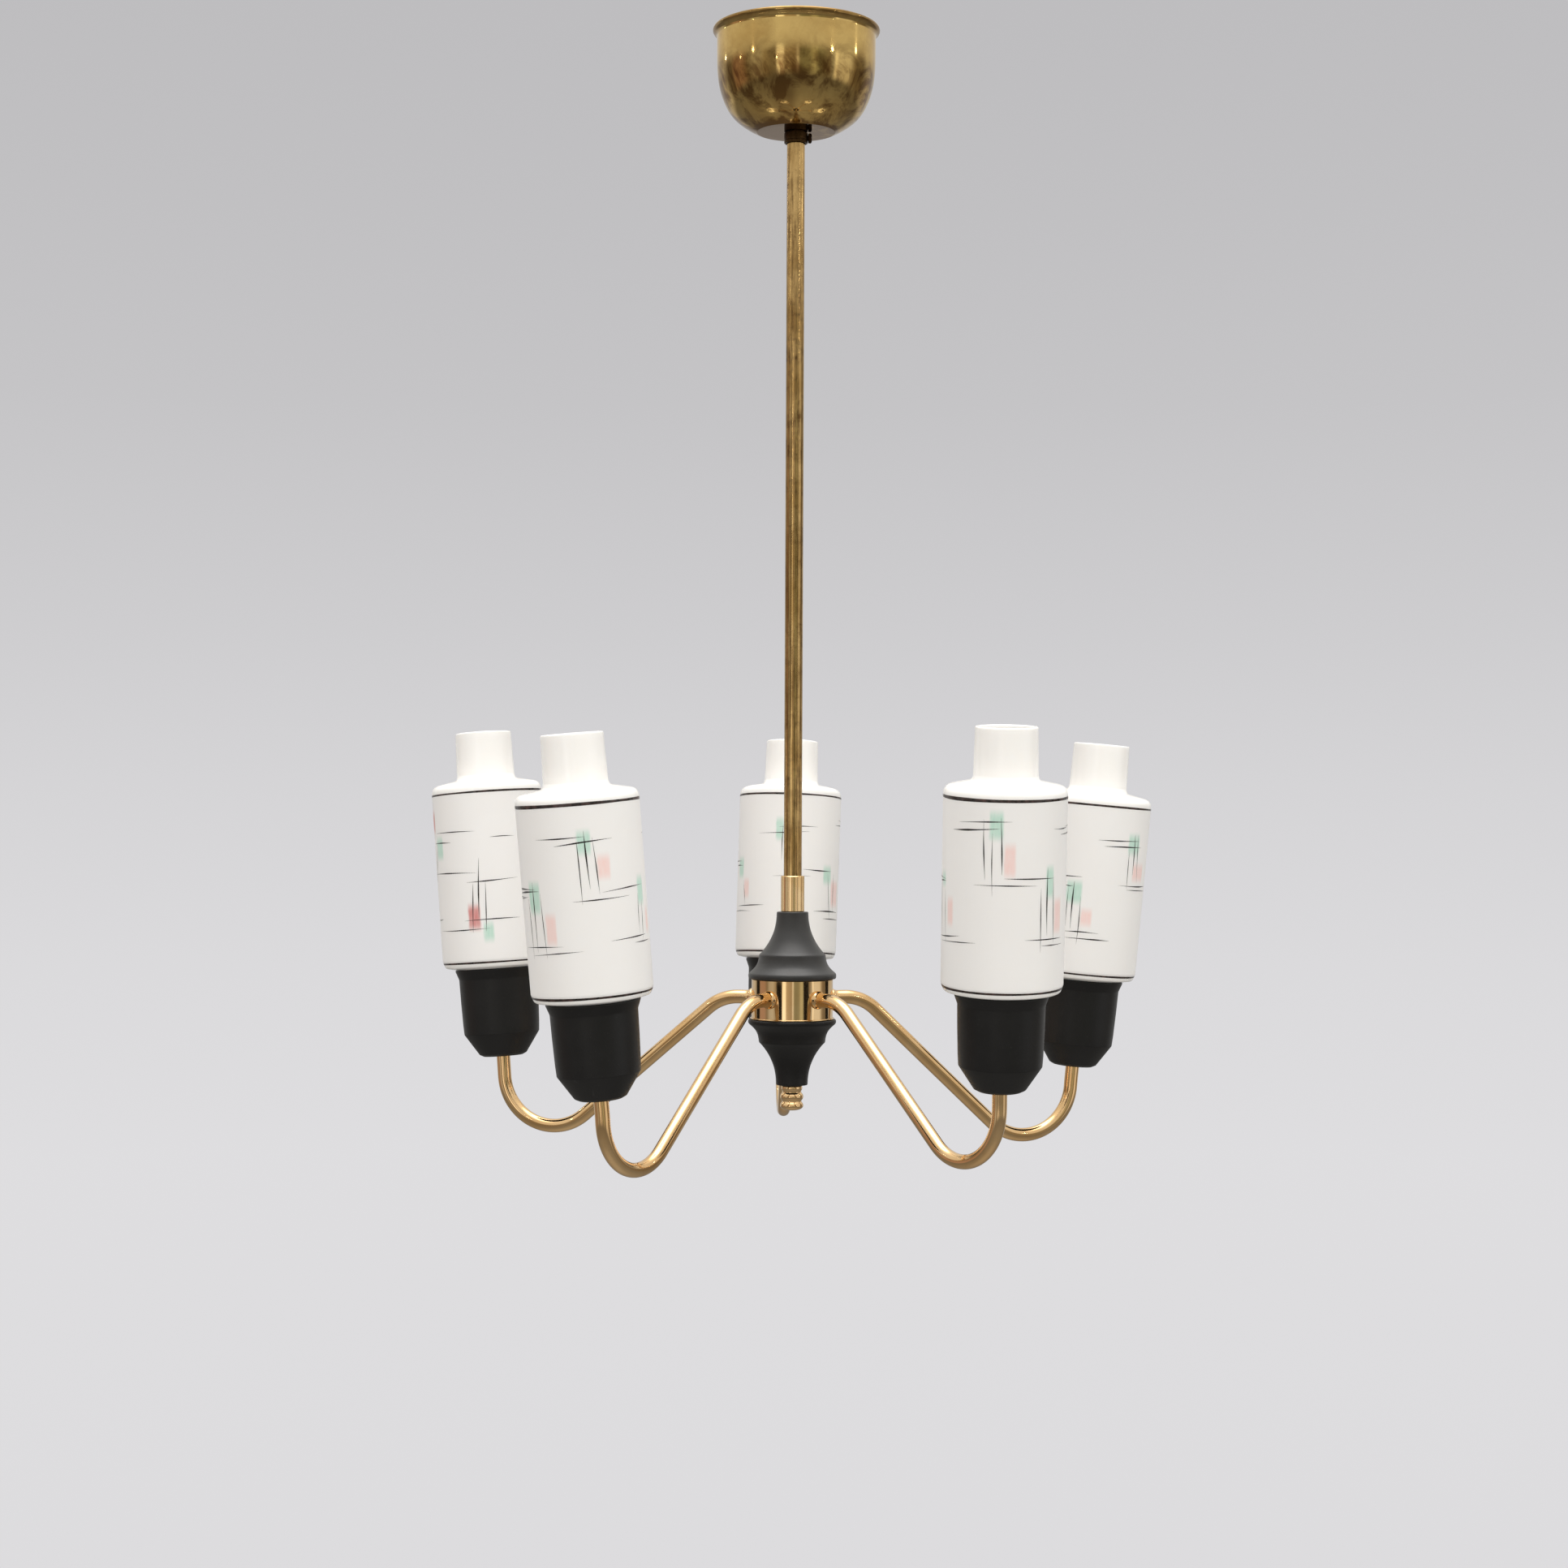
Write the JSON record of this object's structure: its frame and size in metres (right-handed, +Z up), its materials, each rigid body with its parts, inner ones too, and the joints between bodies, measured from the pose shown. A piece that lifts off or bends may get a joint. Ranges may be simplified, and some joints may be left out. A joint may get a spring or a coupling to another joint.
{
  "type": "multi arm chandelier",
  "caption": "Hanging lamp with swept brass arms round a black and brass centre, each arm carrying a black cup and a bottle-shaped opal glass shade.",
  "frame": {"origin": "centre of the canopy's rim, in the ceiling plane, straight above the rod", "axes": "+Z up along the rod towards the ceiling; +Y along the back arm; the lamp hangs below the origin"},
  "size_m": [0.5359, 0.5183, 0.8102],
  "materials": {
    "brass_polished": "polished, lightly lacquered",
    "brass_aged": "aged, patinated",
    "bronze_dark": "dark bronzed",
    "steel_zinc": "zinc plated",
    "black_lacquer": "satin black lacquer",
    "opal_glass": "satin opal with painted enamel strokes",
    "bulb_opal": "opal bulb with a nickel cap",
    "phenolic": "moulded dark phenolic",
    "ceramic": "glazed white",
    "cable_sheath": "matt cable sheath"
  },
  "bodies": {
    "frame": {"rod": "brass_aged", "suspension_loop": "steel_zinc", "ceiling_terminal": "ceramic", "supply_cable": "cable_sheath", "sleeve": "brass_polished", "centre_tube": "steel_zinc", "upper_cap": "black_lacquer", "hub_body": "brass_polished", "hub_lid": "steel_zinc", "hub_nut_upper": "steel_zinc", "hub_nut_lower": "steel_zinc", "terminal_block": "phenolic", "lower_cap": "black_lacquer", "arm_back": "brass_polished", "arm_nut_back": "steel_zinc", "arm_wire_back": "cable_sheath", "cup_back": "black_lacquer", "lampholder_back": "phenolic", "arm_back_left": "brass_polished", "arm_nut_back_left": "steel_zinc", "arm_wire_back_left": "cable_sheath", "cup_back_left": "black_lacquer", "lampholder_back_left": "phenolic", "arm_front_left": "brass_polished", "arm_nut_front_left": "steel_zinc", "arm_wire_front_left": "cable_sheath", "cup_front_left": "black_lacquer", "lampholder_front_left": "phenolic", "arm_front_right": "brass_polished", "arm_nut_front_right": "steel_zinc", "arm_wire_front_right": "cable_sheath", "cup_front_right": "black_lacquer", "lampholder_front_right": "phenolic", "arm_back_right": "brass_polished", "arm_nut_back_right": "steel_zinc", "arm_wire_back_right": "cable_sheath", "cup_back_right": "black_lacquer", "lampholder_back_right": "phenolic"},
    "canopy": {"canopy": "brass_aged", "canopy_collar": "bronze_dark", "canopy_locknut": "steel_zinc"},
    "canopy_screw": {"canopy_screw": "bronze_dark"},
    "finial": {"finial": "brass_polished"},
    "shade_back": {"shade_back": "opal_glass"},
    "bulb_back": {"bulb_back": "bulb_opal"},
    "shade_back_left": {"shade_back_left": "opal_glass"},
    "bulb_back_left": {"bulb_back_left": "bulb_opal"},
    "shade_front_left": {"shade_front_left": "opal_glass"},
    "bulb_front_left": {"bulb_front_left": "bulb_opal"},
    "shade_front_right": {"shade_front_right": "opal_glass"},
    "bulb_front_right": {"bulb_front_right": "bulb_opal"},
    "shade_back_right": {"shade_back_right": "opal_glass"},
    "bulb_back_right": {"bulb_back_right": "bulb_opal"}
  },
  "joints": [
    {"name": "canopy_slide", "type": "slide", "parent": "frame", "child": "canopy", "axis": [0, 0, 1], "range_m": [-0.526, 0]},
    {"name": "canopy_screw_turn", "type": "hinge", "parent": "canopy", "child": "canopy_screw", "pos_m": [0.0095, 0, -0.0795], "axis": [1, 0, 0], "range_deg": [0, 720]},
    {"name": "finial_turn", "type": "hinge", "parent": "frame", "child": "finial", "pos_m": [0, 0, -0.772], "axis": [0, 0, -1], "range_deg": [0, 1440]},
    {"name": "shade_lift_back", "type": "slide", "parent": "frame", "child": "shade_back", "axis": [0.0314, 0.0784, 0.9964], "range_m": [0, 0.12]},
    {"name": "bulb_out_back", "type": "slide", "parent": "frame", "child": "bulb_back", "axis": [0.0314, 0.0784, 0.9964], "range_m": [0, 0.03]},
    {"name": "shade_lift_back_left", "type": "slide", "parent": "frame", "child": "shade_back_left", "axis": [-0.0703, 0.0375, 0.9968], "range_m": [0, 0.12]},
    {"name": "bulb_out_back_left", "type": "slide", "parent": "frame", "child": "bulb_back_left", "axis": [-0.0703, 0.0375, 0.9968], "range_m": [0, 0.03]},
    {"name": "shade_lift_front_left", "type": "slide", "parent": "frame", "child": "shade_front_left", "axis": [-0.0828, -0.0367, 0.9959], "range_m": [0, 0.12]},
    {"name": "bulb_out_front_left", "type": "slide", "parent": "frame", "child": "bulb_front_left", "axis": [-0.0828, -0.0367, 0.9959], "range_m": [0, 0.03]},
    {"name": "shade_lift_front_right", "type": "slide", "parent": "frame", "child": "shade_front_right", "axis": [0.0051, -0.0931, 0.9956], "range_m": [0, 0.12]},
    {"name": "bulb_out_front_right", "type": "slide", "parent": "frame", "child": "bulb_front_right", "axis": [0.0051, -0.0931, 0.9956], "range_m": [0, 0.03]},
    {"name": "shade_lift_back_right", "type": "slide", "parent": "frame", "child": "shade_back_right", "axis": [0.0864, -0.0123, 0.9962], "range_m": [0, 0.12]},
    {"name": "bulb_out_back_right", "type": "slide", "parent": "frame", "child": "bulb_back_right", "axis": [0.0864, -0.0123, 0.9962], "range_m": [0, 0.03]}
  ]
}
